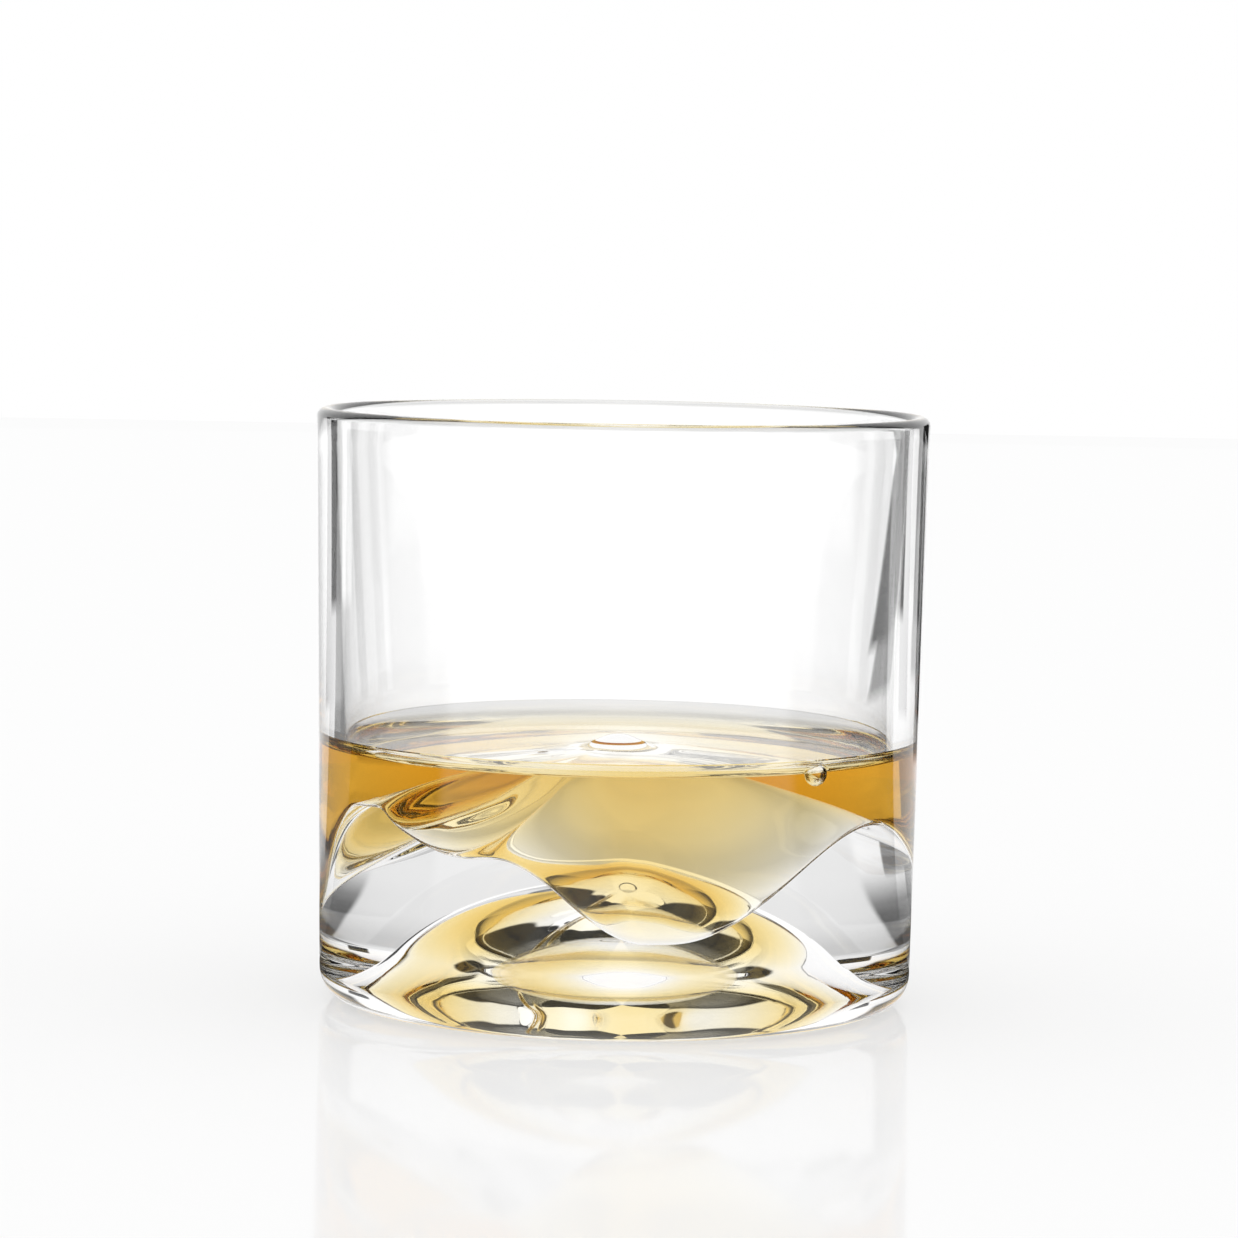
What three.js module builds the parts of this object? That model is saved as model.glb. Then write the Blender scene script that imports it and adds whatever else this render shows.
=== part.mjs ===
// A double old-fashioned whiskey tumbler, part filled with whiskey.
//
// The glass is one moulded piece: a slightly tapered wall with a fire-polished rim on a heavy base.
// The floor of the drinking space is a mountain: a summit on the axis, ridges that run down from it
// to the wall, and valleys between them. A deep domed punt hollows the base under the mountain.
// The whiskey is a separate body that can be left out.
//
// Millimetres, +Z up. The origin is the centre of the foot on the table, and the broad face of the
// mountain looks along -Y. Azimuths are in degrees from -Y towards +X.
import * as THREE from 'three';
import { mergeVertices } from 'three/addons/utils/BufferGeometryUtils.js';

// Outside of the glass
const HEIGHT = 85;
const RIM_OUTER_RADIUS = 44.05;
const FOOT_OUTER_RADIUS = 42.7;
const HEEL_RADIUS = 4.5;

// Inside of the glass
const RIM_INNER_RADIUS = 41.5;
const INNER_TAPER = 0.0405;
const FLOOR_FILLET = 1.2;

// Domed punt under the base: part of a ball, rounded over into the foot
const PUNT_HEIGHT = 19.25;
const PUNT_BALL_RADIUS = 24;
const PUNT_EDGE_RADIUS = 14;

// Mountain: a summit on the axis, and by azimuth the height at which the slope meets the wall.
const SUMMIT_HEIGHT = 38.1;
const SUMMIT_ROUNDING = 2;
// The round peak runs out into the slopes between these radii.
const PEAK_SLOPE = 0.55;
const PEAK_RADIUS = 4;
const PEAK_FOOT_RADIUS = 14;
const WALL_HEIGHTS = [
  [-130, 12], // left valley
  [-88, 12],
  [-62, 29.4], // left ridge
  [-31, 24.3], // left shoulder
  [-25, 24.3],
  [6, 13.4], // front valley
  [11, 13.4],
  [60, 27.9], // right ridge
  [100, 18], // right valley
  [130, 18],
  [175, 27], // back ridge
];
// By azimuth, how far the slope sags: 1 is straight from the summit to the wall, and less bulges.
const SAGS = [
  [-109, 1.6],
  [-86, 1.2],
  [-74, 0.6], // swelling on the far side of the left ridge
  [-63, 1],
  [-54, 0.6], // swelling and gully on the near side of it
  [-46, 1.4],
  [-37, 2.1],
  [-25, 1.1],
  [8, 1.5],
  [60, 1],
  [115, 1.2],
  [175, 1.1],
];

// Whiskey
const LIQUID_LEVEL = 36.1;
const CAPILLARY_LENGTH = 1.8;
const WALL_STEEPNESS = 84; // slope of the surface where it wets the wall, in degrees
const LIQUID_GAP = 0.3;

// Fineness of the surfaces
const SEGMENTS = 96;
const FLOOR_ROWS = 20;
const FILLET_ROWS = 2;
const WALL_ROWS = 5;
const RIM_ROWS = 6;
const HEEL_ROWS = 4;
const PUNT_ROOF_ROWS = 10;
const PUNT_EDGE_ROWS = 5;
const MENISCUS_ROWS = 6;
const MENISCUS_FLATTENING = 0.6; // slope of each row of the meniscus as a part of the one before

const FULL_TURN = 360;

function innerRadius(z) {
  return RIM_INNER_RADIUS - INNER_TAPER * (HEIGHT - z);
}

// 0 to 1 with no slope at either end.
function ease(share) {
  return (1 - Math.cos(Math.PI * share)) / 2;
}

// The value at an azimuth of a table that goes all the way round.
function roundTable(table, azimuth) {
  for (let i = 0; i < table.length; i += 1) {
    const [start, value] = table[i];
    const [end, nextValue] = table[(i + 1) % table.length];
    const ahead = THREE.MathUtils.euclideanModulo(azimuth - start, FULL_TURN);
    const width = THREE.MathUtils.euclideanModulo(end - start, FULL_TURN);
    if (ahead <= width) {
      return THREE.MathUtils.lerp(value, nextValue, ease(ahead / width));
    }
  }
  throw new Error(`no entry round ${azimuth}`);
}

function spokeAt(azimuth) {
  return { wallHeight: roundTable(WALL_HEIGHTS, azimuth), sag: roundTable(SAGS, azimuth) };
}

// Distance from the axis, less near it, so that a cone of it has a rounded tip.
function blunted(radius) {
  return Math.hypot(radius, SUMMIT_ROUNDING) - SUMMIT_ROUNDING;
}

// Height of the mountain at a radius along one spoke.
function mountainHeight(spoke, radius) {
  const peak = SUMMIT_HEIGHT - PEAK_SLOPE * blunted(radius);
  const share = Math.min(1, blunted(radius) / blunted(innerRadius(spoke.wallHeight)));
  const slope = spoke.wallHeight + (SUMMIT_HEIGHT - spoke.wallHeight) * (1 - share) ** spoke.sag;
  const beyondPeak = (radius - PEAK_RADIUS) / (PEAK_FOOT_RADIUS - PEAK_RADIUS);
  return THREE.MathUtils.lerp(peak, slope, ease(THREE.MathUtils.clamp(beyondPeak, 0, 1)));
}

// Radius at which the peak comes up through a level.
function shoreRadius(level) {
  const drop = (SUMMIT_HEIGHT - level) / PEAK_SLOPE;
  return Math.sqrt(drop * (drop + 2 * SUMMIT_ROUNDING));
}

// Evenly spaced places on a curve, both ends included.
function along(curve, from, to, rows) {
  const places = [];
  for (let i = 0; i <= rows; i += 1) {
    places.push(curve(from + ((to - from) * i) / rows));
  }
  return places;
}

// Part of a circle in the section, from one angle to another, in degrees above the horizontal.
function arc(centreRadius, centreHeight, size, from, to, rows) {
  const onCircle = (degrees) => {
    const angle = THREE.MathUtils.degToRad(degrees);
    return [centreRadius + size * Math.cos(angle), centreHeight + size * Math.sin(angle)];
  };
  return along(onCircle, from, to, rows);
}

// The roof of the punt, from the axis down to the foot.
function puntPoints() {
  const ballHeight = PUNT_HEIGHT - PUNT_BALL_RADIUS;
  const reach = PUNT_BALL_RADIUS + PUNT_EDGE_RADIUS;
  const meeting = Math.asin((PUNT_EDGE_RADIUS - ballHeight) / reach);
  const edgeRadius = reach * Math.cos(meeting);
  const degrees = THREE.MathUtils.radToDeg(meeting);
  return [
    ...arc(0, ballHeight, PUNT_BALL_RADIUS, 90, degrees, PUNT_ROOF_ROWS),
    ...arc(edgeRadius, PUNT_EDGE_RADIUS, PUNT_EDGE_RADIUS, 180 + degrees, 270, PUNT_EDGE_ROWS).slice(1),
  ];
}

// The floor of the drinking space, from a radius out to the wall, with the fillet where they meet.
// `gap` is the distance kept from the glass. The rows are closer together near the summit.
function floorPoints(spoke, fromRadius, gap) {
  const filletStart = innerRadius(spoke.wallHeight) - gap - FLOOR_FILLET;
  const filletHeight = mountainHeight(spoke, filletStart) + gap + FLOOR_FILLET;
  const onSlope = (share) => {
    const radius = THREE.MathUtils.lerp(fromRadius, filletStart, share ** 1.5);
    return [radius, mountainHeight(spoke, radius) + gap];
  };
  const slope = along(onSlope, 0, 1, FLOOR_ROWS);
  const fillet = arc(filletStart, filletHeight, FLOOR_FILLET, -90, 0, FILLET_ROWS);
  return [...slope, ...fillet.slice(1)];
}

// The section of the glass at one azimuth, from the roof of the punt round to the summit.
function glassSection(azimuth) {
  const rimRadius = (RIM_OUTER_RADIUS - RIM_INNER_RADIUS) / 2;
  const rimHeight = HEIGHT - rimRadius;
  const floor = floorPoints(spokeAt(azimuth), 0, 0).reverse();
  const wallFoot = floor[0][1];
  return [
    ...puntPoints(),
    ...arc(FOOT_OUTER_RADIUS - HEEL_RADIUS, HEEL_RADIUS, HEEL_RADIUS, -90, 0, HEEL_ROWS),
    ...arc(RIM_OUTER_RADIUS - rimRadius, rimHeight, rimRadius, 0, 180, RIM_ROWS),
    ...along((z) => [innerRadius(z), z], rimHeight, wallFoot, WALL_ROWS).slice(1, -1),
    ...floor,
  ];
}

// Distance from the wall, and height, at which the whiskey's surface has a slope in degrees.
function meniscusPoint(slope) {
  const reach = (degrees) => {
    const half = THREE.MathUtils.degToRad(degrees / 2);
    return -Math.log(Math.tan(half / 2)) - 2 * Math.cos(half);
  };
  const distance = CAPILLARY_LENGTH * (reach(slope) - reach(WALL_STEEPNESS));
  const rise = 2 * CAPILLARY_LENGTH * Math.sin(THREE.MathUtils.degToRad(slope / 2));
  return [distance, LIQUID_LEVEL + rise];
}

// The closed section of the whiskey at one azimuth: out along the floor, up the wall and back.
function whiskeySection(azimuth) {
  const spoke = spokeAt(azimuth);
  const floor = floorPoints(spoke, shoreRadius(LIQUID_LEVEL - LIQUID_GAP), LIQUID_GAP);
  const wallFoot = floor[floor.length - 1][1];
  const wallTop = meniscusPoint(WALL_STEEPNESS)[1];
  const edge = innerRadius(wallTop) - LIQUID_GAP;
  const onSurface = (row) => {
    const [distance, height] = meniscusPoint(WALL_STEEPNESS * MENISCUS_FLATTENING ** row);
    return [edge - distance, height];
  };
  return [
    ...floor,
    ...along((z) => [innerRadius(z) - LIQUID_GAP, z], wallFoot, wallTop, WALL_ROWS).slice(1, -1),
    ...along(onSurface, 0, MENISCUS_ROWS, MENISCUS_ROWS),
    floor[0],
  ];
}

// A lathe turning whose section changes as it goes round.
function turn(sectionAt) {
  const toVectors = (section) => section.map(([radius, height]) => new THREE.Vector2(radius, height));
  const geometry = new THREE.LatheGeometry(toVectors(sectionAt(0)), SEGMENTS);
  const position = geometry.getAttribute('position');
  let vertex = 0;
  for (let i = 0; i <= SEGMENTS; i += 1) {
    const azimuth = (FULL_TURN * (i % SEGMENTS)) / SEGMENTS;
    const angle = THREE.MathUtils.degToRad(azimuth);
    for (const [radius, height] of sectionAt(azimuth)) {
      position.setXYZ(vertex, radius * Math.sin(angle), height, radius * Math.cos(angle));
      vertex += 1;
    }
  }
  geometry.deleteAttribute('normal');
  geometry.deleteAttribute('uv');
  geometry.rotateX(Math.PI / 2);
  const merged = mergeVertices(geometry);
  merged.computeVertexNormals();
  return merged;
}

function makeGlass() {
  const material = new THREE.MeshStandardMaterial({
    color: 0xf4f7f6,
    roughness: 0.02,
    metalness: 0,
    transparent: true,
    opacity: 0.25,
  });
  const glass = new THREE.Mesh(turn(glassSection), material);
  glass.name = 'glass_tumbler';
  return glass;
}

function makeWhiskey() {
  const material = new THREE.MeshStandardMaterial({
    color: 0xd8922b,
    roughness: 0.05,
    metalness: 0,
    transparent: true,
    opacity: 0.7,
  });
  const whiskey = new THREE.Mesh(turn(whiskeySection), material);
  whiskey.name = 'whiskey';
  return whiskey;
}

const tumbler = new THREE.Group();
tumbler.add(makeGlass(), makeWhiskey());

export default tumbler;
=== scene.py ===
"""A whiskey tumbler on a white light table.

The fine glass and whiskey are turned like a lathe's work, from a section that changes with azimuth, and
replace the coarse CAD nodes. Light crosses three kinds of boundary: air to glass, air to whiskey and
whiskey to glass. Each bends it once, by the ratio of the refractive indices on its two sides. Where the
whiskey meets the glass, the glass's surface does so and the whiskey's, just inside it, doesn't.

Metres, +Z up. Angles in degrees. The object's azimuths are from -Y, where the camera stands, towards +X.
"""
import math

import bmesh
import bpy
from mathutils import Matrix, Vector


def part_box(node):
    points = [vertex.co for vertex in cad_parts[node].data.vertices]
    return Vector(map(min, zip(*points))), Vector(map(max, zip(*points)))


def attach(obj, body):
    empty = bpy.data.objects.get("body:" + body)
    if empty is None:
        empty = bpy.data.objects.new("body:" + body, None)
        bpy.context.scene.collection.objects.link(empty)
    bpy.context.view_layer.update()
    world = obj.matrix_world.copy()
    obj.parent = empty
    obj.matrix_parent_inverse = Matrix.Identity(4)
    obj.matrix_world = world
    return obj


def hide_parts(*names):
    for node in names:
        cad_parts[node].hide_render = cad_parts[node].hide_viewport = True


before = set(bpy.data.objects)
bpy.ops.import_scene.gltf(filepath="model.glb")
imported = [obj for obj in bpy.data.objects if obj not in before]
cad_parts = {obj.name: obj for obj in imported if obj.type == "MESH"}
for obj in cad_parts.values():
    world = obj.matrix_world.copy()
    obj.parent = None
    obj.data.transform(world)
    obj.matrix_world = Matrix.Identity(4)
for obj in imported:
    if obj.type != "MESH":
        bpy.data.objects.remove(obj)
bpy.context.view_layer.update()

scene = bpy.context.scene

MM = 0.001
FULL_TURN = 360.0

# Outside of the glass, as in the CAD model
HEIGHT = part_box("glass_tumbler")[1].z
RIM_OUTER_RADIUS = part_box("glass_tumbler")[1].x
FOOT_OUTER_RADIUS = 42.7 * MM
HEEL_RADIUS = 4.5 * MM

# Domed punt: part of a ball, rounded over into the foot
PUNT_BALL_RADIUS = 24 * MM
PUNT_HEIGHT = 19.25 * MM
PUNT_EDGE_RADIUS = 14 * MM

# Inside of the glass
RIM_INNER_RADIUS = 41.5 * MM
INNER_TAPER = 0.0405
FLOOR_FILLET = 1.2 * MM

# Mountain: a round peak on the axis that runs out into slopes between the radii of PEAK_FADE
SUMMIT_HEIGHT = 38.1 * MM
SUMMIT_ROUNDING = 2.0 * MM
PEAK_SLOPE = 0.55
PEAK_FADE = 4 * MM, 14 * MM
# By azimuth, the height at which the slope meets the wall
WALL_HEIGHTS = [
    (-130, 12 * MM),  # left valley
    (-88, 12 * MM),
    (-62, 29.4 * MM),  # left ridge
    (-31, 24.3 * MM),  # left shoulder
    (-25, 24.3 * MM),
    (6, 13.4 * MM),  # front valley
    (11, 13.4 * MM),
    (60, 27.9 * MM),  # right ridge
    (100, 18 * MM),  # right valley
    (130, 18 * MM),
    (175, 27 * MM),  # back ridge
]
# By azimuth, how far the slope sags: 1 is straight from the summit to the wall, and less bulges
SAGS = [
    (-109, 1.6),
    (-86, 1.2),
    (-74, 0.6),  # swelling on the far side of the left ridge
    (-63, 1.0),
    (-54, 0.6),  # swelling and gully on the near side of it
    (-46, 1.4),
    (-37, 2.1),
    (-25, 1.1),
    (8, 1.5),
    (60, 1.0),
    (115, 1.2),
    (175, 1.1),
]

# Whiskey
LIQUID_LEVEL = 36.1 * MM
CAPILLARY_LENGTH = 1.8 * MM
WALL_STEEPNESS = 84  # slope of the surface where it wets the wall
WALL_MENISCUS = 2 * CAPILLARY_LENGTH * math.sin(math.radians(WALL_STEEPNESS / 2))  # climb at the wall
SUMMIT_MENISCUS = 0.95 * MM  # climb at the summit
CONTACT_HEIGHT = LIQUID_LEVEL + WALL_MENISCUS
WET_GAP = 0.02 * MM  # the whiskey's mesh stops this far short of the glass
ABSORPTION_COLOR = 0.92, 0.755, 0.17, 1
ABSORPTION_DENSITY = 72

# Refractive indices
AIR_TO_GLASS = 1.52
AIR_TO_WHISKEY = 1.36
WHISKEY_TO_GLASS = AIR_TO_GLASS / AIR_TO_WHISKEY
NO_BENDING = 1.0001

# Bubble caught where the whiskey climbs the wall, under a thin film
BUBBLE_RADIUS = 1.7 * MM
BUBBLE_AZIMUTH = 43.5
BUBBLE_HEIGHT = 36.4 * MM
BUBBLE_FILM = 0.15 * MM
BUBBLE_CLEARANCE = 0.12 * MM  # from the wall

# Azimuths of the sections: even, and closer together round the bubble
COARSE_STEP, FINE_STEP = 1.5, 0.25
FINE_REACH = 6

# Rows of the sections
PUNT_ROWS = 64
SLOPE_ROWS = 64
ROUNDING_ROWS = 12
FILLET_ROWS = 8
RIM_ROWS = 24
DRY_WALL_ROWS = 24
WET_WALL_ROWS = 16
SUMMIT_ROWS = 10
SURFACE_ROWS = 48
MENISCUS_FLATTENING = 0.88  # slope of each row of the meniscus as a part of the one before

# Camera
CAMERA_PLACE = 0, -0.700, 0.113
CAMERA_TARGET = -0.0002, 0, 0.055
CAMERA_ROLL = 1.0
LENS, SENSOR = 141.6, 36.0  # in millimetres
CLIP_START = 0.01

# Studio
WHITE = 1, 1, 1, 1
FLOOR_SIZE = 1.9  # from the middle to each side
FLOOR_HEIGHT = -0.1 * MM  # just clear of the foot
FLOOR_ROUGHNESS = 0.06
FLOOR_SHADOW = 0.35  # part of the floor's light that the room gives, and the tumbler can shade
FLOOR_GLOSS = 0.14  # part that it mirrors
TABLE_HEIGHT = -0.2 * MM
DOME_RADIUS = 1.8

# What the glass refracts and reflects. The studio's azimuths are from straight behind the tumbler,
# towards +X, distances are from its axis, and strengths are of white. Ramps list where each strength holds.
DARK = 0.03
# The table by distance, behind the tumbler and at its sides, with a painted shadow of the tumbler in the
# dips near its foot
TABLE_BEHIND_WITH_PAINTED_SHADOW = [(0.045, 1.0), (0.075, 0.62), (0.11, 0.85), (0.2, 0.85), (0.35, 1.1)]
TABLE_SIDE_WITH_PAINTED_SHADOW = [(0.05, 1.0), (0.07, 0.12), (0.1, 0.12), (0.2, 1.0)]
SIDE_EDGE = 29, 32  # azimuths
# The dark sides of the table: azimuths and distance of their start, and azimuths of their end, which
# comes sooner in their far part
DARK_SIDES = -55, 56
DARK_START = 0.043, 0.046
DARK_FAR_START = 0.45, 0.5
DARK_FAR_END = 80, 86
DARK_NEAR_END = 112, 118
# Painted shade on the table in front of the standing black cards, as grey patches: distances, azimuths and
# strength
PAINTED_CARD_SHADE = [
    ((0.17, 0.41), (-64, -40), 0.25),
    ((0.32, 0.41), (19, 31), 0.33),
]
# Black cards that stand beyond them: azimuths
CARDS = [(-47, -34), (17, 30), (42, 52)]
CARD_DISTANCE = 0.41
CARD_TOP = 6  # elevation
CARD_SOFTNESS = 0.01
CARD_SOFTNESS_AZIMUTH = 0.8
SKY = [(48, 1.1), (53, DARK), (150, DARK), (156, 0.9)]  # by azimuth, above the horizon
HORIZON = 1.1
HORIZON_FADE = 8, 14  # elevations between which it gives way to the sky
AZIMUTH_STEPS, ELEVATION_STEPS, DISTANCE_STEPS = 720, 90, 60

# Light paths
MAX_BOUNCES, TRANSMISSION_BOUNCES, GLOSSY_BOUNCES = 32, 32, 16


# ---------------------------------------------------------------- shape

def lerp(a, b, share):
    return a + (b - a) * share


def ease(share):
    """0 to 1 with no slope at either end."""
    return (1 - math.cos(math.pi * share)) / 2


def fade(value, start, end):
    """0 before the start and 1 past the end, with a smooth rise between."""
    return ease(min(1, max(0, (value - start) / (end - start))))


def along(curve, start, end, rows):
    """Evenly spaced places on a curve, both ends included."""
    return [curve(lerp(start, end, i / rows)) for i in range(rows + 1)]


def arc(radius, height, size, start, end, rows):
    """Part of a circle in the section, between two angles in degrees above the horizontal."""
    def on_circle(degrees):
        angle = math.radians(degrees)
        return radius + size * math.cos(angle), height + size * math.sin(angle)
    return along(on_circle, start, end, rows)


def inner_radius(z):
    return RIM_INNER_RADIUS - INNER_TAPER * (HEIGHT - z)


def round_table(table, azimuth):
    """The value at an azimuth of a table that goes all the way round, changing smoothly between entries."""
    for i, (start, value) in enumerate(table):
        end, next_value = table[(i + 1) % len(table)]
        ahead = (azimuth - start) % FULL_TURN
        width = (end - start) % FULL_TURN
        if ahead <= width:
            return lerp(value, next_value, ease(ahead / width))
    raise ValueError(f"no entry round {azimuth}")


def spoke_at(azimuth):
    """The mountain's height at the wall and the sag of its slope."""
    return round_table(WALL_HEIGHTS, azimuth), round_table(SAGS, azimuth)


def blunted(radius):
    """Distance from the axis, less near it, so that a cone of it has a rounded tip."""
    return math.hypot(radius, SUMMIT_ROUNDING) - SUMMIT_ROUNDING


def mountain_height(spoke, radius):
    """Height of the mountain at a radius along one spoke."""
    wall, sag = spoke
    peak = SUMMIT_HEIGHT - PEAK_SLOPE * blunted(radius)
    share = min(1, blunted(radius) / blunted(inner_radius(wall)))
    slope = wall + (SUMMIT_HEIGHT - wall) * (1 - share) ** sag
    return lerp(peak, slope, fade(radius, *PEAK_FADE))


def shore_radius():
    """Where the whiskey meets the peak."""
    drop = (SUMMIT_HEIGHT - LIQUID_LEVEL - SUMMIT_MENISCUS) / PEAK_SLOPE
    return math.sqrt(drop * (drop + 2 * SUMMIT_ROUNDING))


def punt_points():
    """The roof of the punt, from the axis down to the foot."""
    ball_height = PUNT_HEIGHT - PUNT_BALL_RADIUS
    reach = PUNT_BALL_RADIUS + PUNT_EDGE_RADIUS
    edge = math.asin((PUNT_EDGE_RADIUS - ball_height) / reach)
    edge_radius = reach * math.cos(edge)
    degrees = math.degrees(edge)
    roof = arc(0, ball_height, PUNT_BALL_RADIUS, 90, degrees, PUNT_ROWS)
    rounding = arc(edge_radius, PUNT_EDGE_RADIUS, PUNT_EDGE_RADIUS, 180 + degrees, 270, ROUNDING_ROWS)
    return roof + rounding[1:]


def floor_points(spoke, gap):
    """The wetted floor from the shore out to the wall, with the fillet at its foot."""
    start = shore_radius()
    fillet_start = inner_radius(spoke[0]) - FLOOR_FILLET
    fillet_height = mountain_height(spoke, fillet_start) + FLOOR_FILLET
    slope = along(lambda r: (r, mountain_height(spoke, r) + gap), start, fillet_start, SLOPE_ROWS)
    fillet = arc(fillet_start, fillet_height + gap, FLOOR_FILLET - gap, -90, 0, FILLET_ROWS)
    return slope + fillet[1:]


def glass_section(azimuth):
    """The glass from the roof of the punt round to the summit, and the rows between which it is wetted."""
    spoke = spoke_at(azimuth)
    rim = (RIM_OUTER_RADIUS - RIM_INNER_RADIUS) / 2
    shore = shore_radius()
    floor = floor_points(spoke, 0)[::-1]

    def outer_wall(z):
        return lerp(FOOT_OUTER_RADIUS, RIM_OUTER_RADIUS, (z - HEEL_RADIUS) / HEIGHT), z

    def inner_wall(z):
        return inner_radius(z), z

    outside = punt_points()
    outside += arc(FOOT_OUTER_RADIUS - HEEL_RADIUS, HEEL_RADIUS, HEEL_RADIUS, -90, 0, ROUNDING_ROWS)
    outside += along(outer_wall, HEEL_RADIUS, HEIGHT - rim, DRY_WALL_ROWS)[1:-1]
    outside += arc(RIM_OUTER_RADIUS - rim, HEIGHT - rim, rim, 0, 180, RIM_ROWS)
    dry_wall = along(inner_wall, HEIGHT - rim, CONTACT_HEIGHT, DRY_WALL_ROWS)[1:]
    wet_wall = along(inner_wall, CONTACT_HEIGHT, floor[0][1], WET_WALL_ROWS)[1:-1]
    summit = along(lambda r: (r, mountain_height(spoke, r)), shore, 0, SUMMIT_ROWS)[1:]
    dry = outside + dry_wall
    wet = wet_wall + floor
    return dry + wet + summit, (len(dry) - 1, len(dry) + len(wet) - 1)


def meniscus(slope):
    """Distance from the wall, and rise above the level, where a still surface has a slope in degrees."""
    def reach(degrees):
        half = math.radians(degrees / 2)
        return -math.log(math.tan(half / 2)) - 2 * math.cos(half)
    rise = 2 * CAPILLARY_LENGTH * math.sin(math.radians(slope / 2))
    return CAPILLARY_LENGTH * (reach(slope) - reach(WALL_STEEPNESS)), rise


def round_axis(azimuth, radius, height):
    """A place given by its azimuth and its distance from the axis."""
    angle = math.radians(azimuth)
    return Vector((radius * math.sin(angle), -radius * math.cos(angle), height))


def bubble_centre():
    radius = inner_radius(BUBBLE_HEIGHT) - BUBBLE_RADIUS - BUBBLE_CLEARANCE
    return round_axis(BUBBLE_AZIMUTH, radius, BUBBLE_HEIGHT)


def film_height(azimuth, radius):
    """Top of the film over the bubble, or 0 away from it."""
    distance = (round_axis(azimuth, radius, BUBBLE_HEIGHT) - bubble_centre()).length
    reach = BUBBLE_RADIUS + BUBBLE_FILM
    return BUBBLE_HEIGHT + math.sqrt(reach ** 2 - distance ** 2) if distance < reach else 0


def whiskey_section(azimuth):
    """The whiskey from the shore along the floor, up the wall and back, and its rows against the glass."""
    spoke = spoke_at(azimuth)
    floor = floor_points(spoke, WET_GAP)
    floor[0] = (floor[0][0], floor[0][1] - WET_GAP)
    edge = inner_radius(CONTACT_HEIGHT)
    shore = floor[0][0]
    wall = along(lambda z: (inner_radius(z) - WET_GAP, z), floor[-1][1], CONTACT_HEIGHT, WET_WALL_ROWS)[1:-1]

    def surface(radius, rise):
        at_shore = SUMMIT_MENISCUS * math.exp((shore - radius) / CAPILLARY_LENGTH)
        return radius, max(LIQUID_LEVEL + rise + at_shore, film_height(azimuth, radius))

    top = []
    for row in range(SURFACE_ROWS):
        distance, rise = meniscus(WALL_STEEPNESS * MENISCUS_FLATTENING ** row)
        top.append(surface(edge - distance, rise))
    top += along(lambda radius: surface(radius, 0), top[-1][0], shore, SURFACE_ROWS)[1:-1]
    wetted = floor + wall
    return wetted + top, (0, len(wetted))


def section_azimuths():
    """Where the sections stand round the axis."""
    azimuths = []
    azimuth = 0
    while azimuth < FULL_TURN:
        azimuths.append(azimuth)
        near_bubble = abs(azimuth - BUBBLE_AZIMUTH) < FINE_REACH
        azimuth += FINE_STEP if near_bubble else COARSE_STEP
    return azimuths


def turn(name, section_at, closed):
    """An object whose section changes as it goes round, and for each face whether it is wetted.

    A section that isn't closed starts and ends on the axis.
    """
    verts, faces, wetted = [], [], []
    rows = []
    for azimuth in section_azimuths():
        section, (first, last) = section_at(azimuth)
        row = []
        for j, (radius, height) in enumerate(section):
            on_axis = not closed and j in (0, len(section) - 1)
            if on_axis and rows:
                row.append(rows[0][j])
                continue
            row.append(len(verts))
            verts.append(round_axis(azimuth, radius, height))
        rows.append(row)
    count = len(rows[0])
    for i, here in enumerate(rows):
        there = rows[(i + 1) % len(rows)]
        for j in range(count if closed else count - 1):
            k = (j + 1) % count
            corners = here[j], there[j], there[k], here[k]
            faces.append(list(dict.fromkeys(corners)))
            wetted.append(first <= j < last)
    mesh = bpy.data.meshes.new(name)
    mesh.from_pydata(verts, [], faces)
    mesh.validate()
    mesh.shade_smooth()
    piece = bpy.data.objects.new(name, mesh)
    scene.collection.objects.link(piece)
    return piece, wetted


# ---------------------------------------------------------------- materials

def clear_material(name, index):
    """Perfectly clear and smooth, with the ratio of the refractive indices on its two sides."""
    material = bpy.data.materials.new(name)
    material.use_nodes = True
    shader = material.node_tree.nodes["Principled BSDF"]
    shader.inputs["Base Color"].default_value = WHITE
    shader.inputs["Roughness"].default_value = 0.0
    shader.inputs["IOR"].default_value = index
    shader.inputs["Transmission Weight"].default_value = 1.0
    return material


def whiskey_material():
    """Clear, coloured by the depth that light goes through, and bending light only where it meets air."""
    material = clear_material("whiskey", AIR_TO_WHISKEY)
    nodes, links = material.node_tree.nodes, material.node_tree.links
    index = nodes.new("ShaderNodeAttribute")
    index.attribute_name = "index"
    links.new(index.outputs["Fac"], nodes["Principled BSDF"].inputs["IOR"])
    absorption = nodes.new("ShaderNodeVolumeAbsorption")
    absorption.inputs["Color"].default_value = ABSORPTION_COLOR
    absorption.inputs["Density"].default_value = ABSORPTION_DENSITY
    links.new(absorption.outputs[0], nodes["Material Output"].inputs["Volume"])
    return material


# ---------------------------------------------------------------- object

def make_glass():
    glass, wetted = turn("glass_fine", glass_section, closed=False)
    glass.data.materials.append(clear_material("glass_in_air", AIR_TO_GLASS))
    glass.data.materials.append(clear_material("glass_in_whiskey", WHISKEY_TO_GLASS))
    glass.data.polygons.foreach_set("material_index", [int(m) for m in wetted])
    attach(glass, "root")
    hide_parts("glass_tumbler")


def make_whiskey():
    whiskey, wetted = turn("whiskey_fine", whiskey_section, closed=True)
    whiskey.data.materials.append(whiskey_material())
    index = whiskey.data.attributes.new("index", "FLOAT", "FACE")
    index.data.foreach_set("value", [NO_BENDING if m else AIR_TO_WHISKEY for m in wetted])
    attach(whiskey, "root")
    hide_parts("whiskey")


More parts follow.
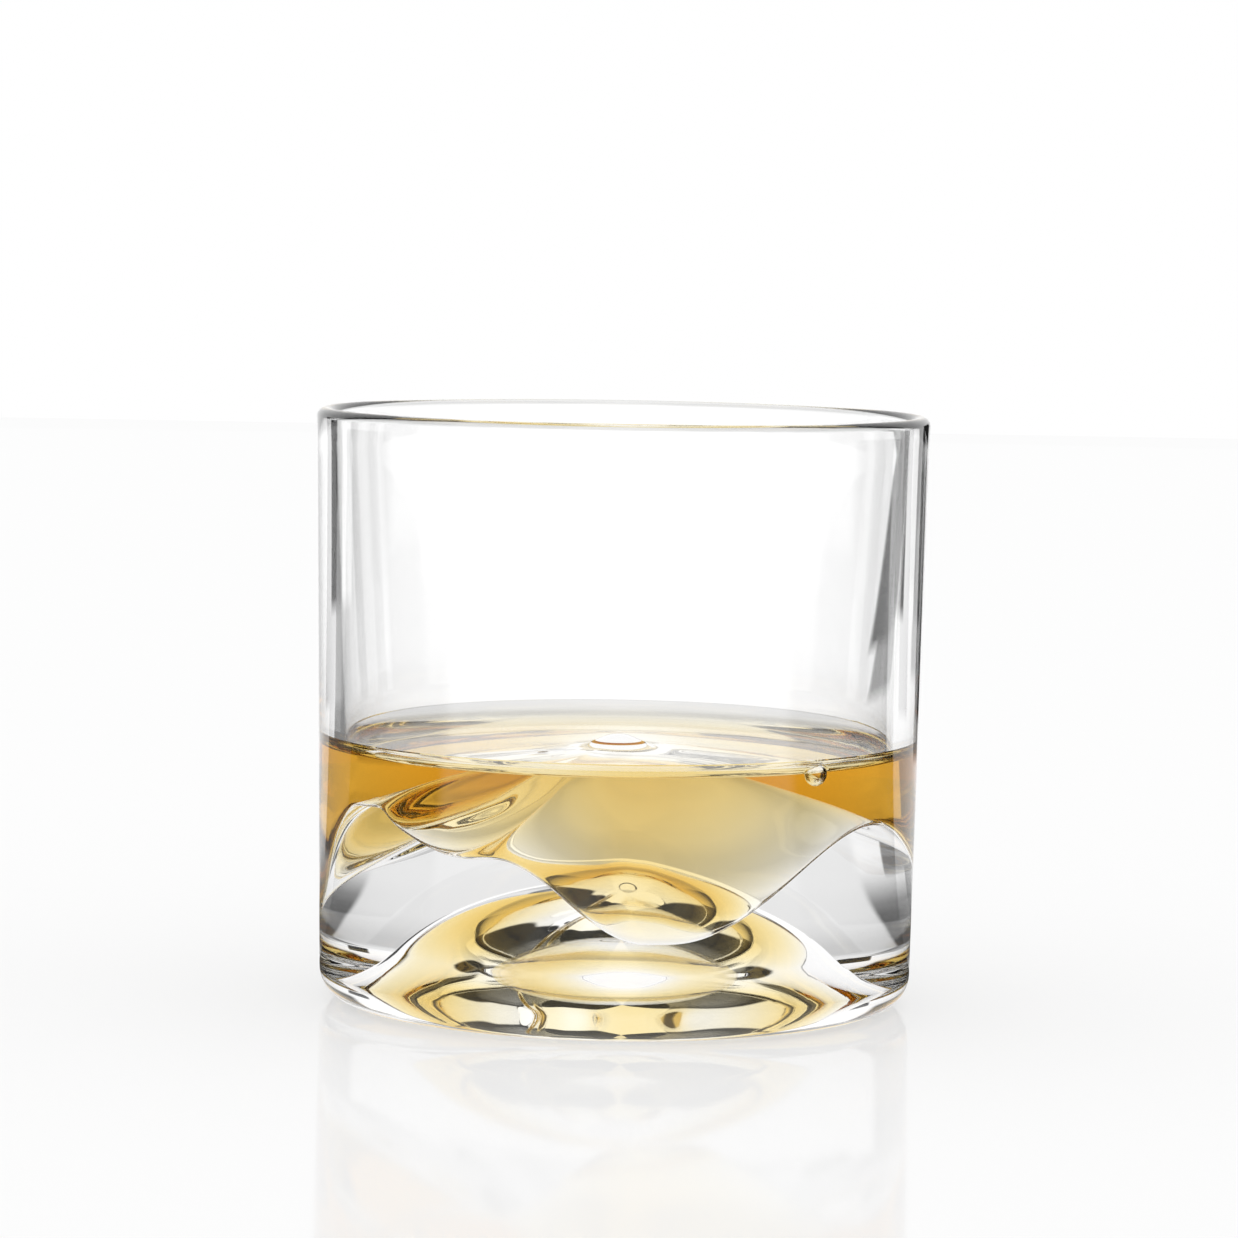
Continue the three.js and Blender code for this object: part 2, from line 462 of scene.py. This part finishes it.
def make_bubble():
    """Air inside the whiskey."""
    mesh = bpy.data.meshes.new("bubble")
    ball = bmesh.new()
    bmesh.ops.create_icosphere(ball, subdivisions=4, radius=BUBBLE_RADIUS)
    ball.to_mesh(mesh)
    ball.free()
    mesh.shade_smooth()
    bubble = bpy.data.objects.new("bubble", mesh)
    scene.collection.objects.link(bubble)
    bubble.location = bubble_centre()
    mesh.materials.append(clear_material("bubble", 1 / AIR_TO_WHISKEY))
    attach(bubble, "root")
    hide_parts("whiskey")


# ---------------------------------------------------------------- studio

def emission(name):
    """A material that gives off an even white light."""
    material = bpy.data.materials.new(name)
    material.use_nodes = True
    nodes, links = material.node_tree.nodes, material.node_tree.links
    nodes.remove(nodes["Principled BSDF"])
    light = nodes.new("ShaderNodeEmission")
    light.inputs["Color"].default_value = WHITE
    links.new(light.outputs[0], nodes["Material Output"].inputs["Surface"])
    return material


def stage_mesh(name, corners, faces, material):
    """A sheet of the studio, which isn't part of the object."""
    mesh = bpy.data.meshes.new(name)
    mesh.from_pydata(corners, [], faces)
    mesh.materials.append(material)
    sheet = bpy.data.objects.new(name, mesh)
    scene.collection.objects.link(sheet)
    return sheet


def mix(nodes, links, share, first, second):
    """A shader that is part one shader and part another."""
    mixed = nodes.new("ShaderNodeMixShader")
    mixed.inputs["Fac"].default_value = share
    links.new(first.outputs[0], mixed.inputs[1])
    links.new(second.outputs[0], mixed.inputs[2])
    return mixed


def make_floor():
    """The white table that the camera sees: its own light, with a soft shadow and a faint reflection."""
    material = emission("floor")
    nodes, links = material.node_tree.nodes, material.node_tree.links
    matt = nodes.new("ShaderNodeBsdfDiffuse")
    matt.inputs["Color"].default_value = WHITE
    gloss = nodes.new("ShaderNodeBsdfGlossy")
    gloss.inputs["Roughness"].default_value = FLOOR_ROUGHNESS
    shaded = mix(nodes, links, FLOOR_SHADOW, nodes["Emission"], matt)
    mirrored = mix(nodes, links, FLOOR_GLOSS, shaded, gloss)
    links.new(mirrored.outputs[0], nodes["Material Output"].inputs["Surface"])
    sides = (-1, -1), (1, -1), (1, 1), (-1, 1)
    corners = [(x * FLOOR_SIZE, y * FLOOR_SIZE, FLOOR_HEIGHT) for x, y in sides]
    floor = stage_mesh("floor", corners, [(0, 1, 2, 3)], material)
    floor.visible_transmission = False
    floor.visible_glossy = False


def make_world():
    """Even white all round, for the background, for the table's shadow and for reflections."""
    world = bpy.data.worlds.new("studio")
    scene.world = world
    world.use_nodes = True
    background = world.node_tree.nodes["Background"]
    background.inputs["Color"].default_value = WHITE


def make_camera():
    camera_data = bpy.data.cameras.new("camera")
    camera_data.lens = LENS
    camera_data.sensor_width = SENSOR
    camera_data.clip_start = CLIP_START
    camera = bpy.data.objects.new("camera", camera_data)
    scene.collection.objects.link(camera)
    place = Vector(CAMERA_PLACE)
    aim = (Vector(CAMERA_TARGET) - place).to_track_quat("-Z", "Y").to_matrix().to_4x4()
    roll = Matrix.Rotation(math.radians(CAMERA_ROLL), 4, "Z")
    camera.matrix_world = Matrix.Translation(place) @ aim @ roll
    scene.camera = camera


def ramp(value, stops):
    """Strength between the stops on either side, with a smooth change."""
    strength = stops[0][1]
    for (start, low), (end, high) in zip(stops, stops[1:]):
        if value > start:
            strength = lerp(low, high, fade(value, start, end))
    return strength


def within(value, limits, softness):
    """1 between the limits and 0 outside them, with a smooth change at each."""
    start, end = limits
    return fade(value, start, start + softness) * (1 - fade(value, end - softness, end))


def card_cover(azimuth):
    """1 where a standing card hides what is beyond it."""
    return max(within(azimuth, card, CARD_SOFTNESS_AZIMUTH) for card in CARDS)


def sky_strength(azimuth, elevation):
    """Brightness of the room above the table."""
    sky = lerp(HORIZON, ramp(abs(azimuth), SKY), fade(elevation, *HORIZON_FADE))
    cover = card_cover(azimuth) * (1 - fade(elevation, CARD_TOP, CARD_TOP + 1))
    return lerp(sky, DARK, cover)


def table_strength(azimuth, distance):
    """Brightness of the table: white behind the tumbler, with a painted shadow of the tumbler close behind
    it and at its sides, darker beyond its sides, with cards on it and painted shade in front of them.
    """
    # these ramps carry the painted shadow of the tumbler near its foot
    behind, side = ramp(distance, TABLE_BEHIND_WITH_PAINTED_SHADOW), ramp(distance, TABLE_SIDE_WITH_PAINTED_SHADOW)
    strength = lerp(behind, side, fade(abs(azimuth), *SIDE_EDGE))
    left, right = DARK_SIDES
    beside = max(fade(left - azimuth, 0, 1), fade(azimuth - right, 0, 1))
    beside *= 1 - fade(abs(azimuth), *DARK_FAR_END) * fade(distance, *DARK_FAR_START)
    beside *= 1 - fade(abs(azimuth), *DARK_NEAR_END)
    strength = lerp(strength, DARK, beside * fade(distance, *DARK_START))
    past_cards = fade(distance, CARD_DISTANCE, CARD_DISTANCE + CARD_SOFTNESS)
    strength = lerp(strength, DARK, card_cover(azimuth) * past_cards)
    # grey painted shade of the standing cards on the table
    for distances, azimuths, painted_shade in PAINTED_CARD_SHADE:
        cover = within(distance, distances, CARD_SOFTNESS) * within(azimuth, azimuths, CARD_SOFTNESS_AZIMUTH)
        strength = lerp(strength, painted_shade, cover)
    return strength


def glowing_material():
    """Gives off white light as strong as its mesh says at each point."""
    material = emission("studio_glow")
    nodes, links = material.node_tree.nodes, material.node_tree.links
    glow = nodes.new("ShaderNodeAttribute")
    glow.attribute_name = "glow"
    links.new(glow.outputs["Fac"], nodes["Emission"].inputs["Strength"])
    return material


def glowing_sheet(name, places, strengths, material):
    """A sheet that only the glass sees, from rows of places, with the strength of its glow at each."""
    width = len(places[0])
    corners = [place for row in places for place in row]
    faces = []
    for i in range(len(places) - 1):
        for j in range(width - 1):
            first = i * width + j
            faces.append((first, first + 1, first + width + 1, first + width))
    sheet = stage_mesh(name, corners, faces, material)
    glow = sheet.data.attributes.new("glow", "FLOAT", "POINT")
    glow.data.foreach_set("value", [strength for row in strengths for strength in row])
    sheet.visible_camera = False
    sheet.visible_diffuse = False
    sheet.visible_shadow = False


def make_studio():
    """What the glass refracts and reflects: a dome and a table round the tumbler."""
    material = glowing_material()
    azimuths = along(float, -180, 180, AZIMUTH_STEPS)
    elevations = along(float, 0, 90, ELEVATION_STEPS)
    distances = along(lambda share: DOME_RADIUS * share ** 2, 0, 1, DISTANCE_STEPS)

    def at(azimuth, distance, height):
        angle = math.radians(azimuth)
        return distance * math.sin(angle), distance * math.cos(angle), TABLE_HEIGHT + height

    def on_dome(azimuth, elevation):
        angle = math.radians(elevation)
        return at(azimuth, DOME_RADIUS * math.cos(angle), DOME_RADIUS * math.sin(angle))

    dome = [[on_dome(a, e) for a in azimuths] for e in elevations]
    sky = [[sky_strength(a, e) for a in azimuths] for e in elevations]
    glowing_sheet("dome", dome, sky, material)
    table = [[at(a, d, 0) for a in azimuths] for d in distances]
    light = [[table_strength(a, d) for a in azimuths] for d in distances]
    glowing_sheet("table", table, light, material)


scene.view_settings.view_transform = "Standard"
scene.cycles.max_bounces = MAX_BOUNCES
scene.cycles.transmission_bounces = TRANSMISSION_BOUNCES
scene.cycles.glossy_bounces = GLOSSY_BOUNCES
make_glass()
make_whiskey()
make_bubble()
make_floor()
make_world()
make_studio()
make_camera()
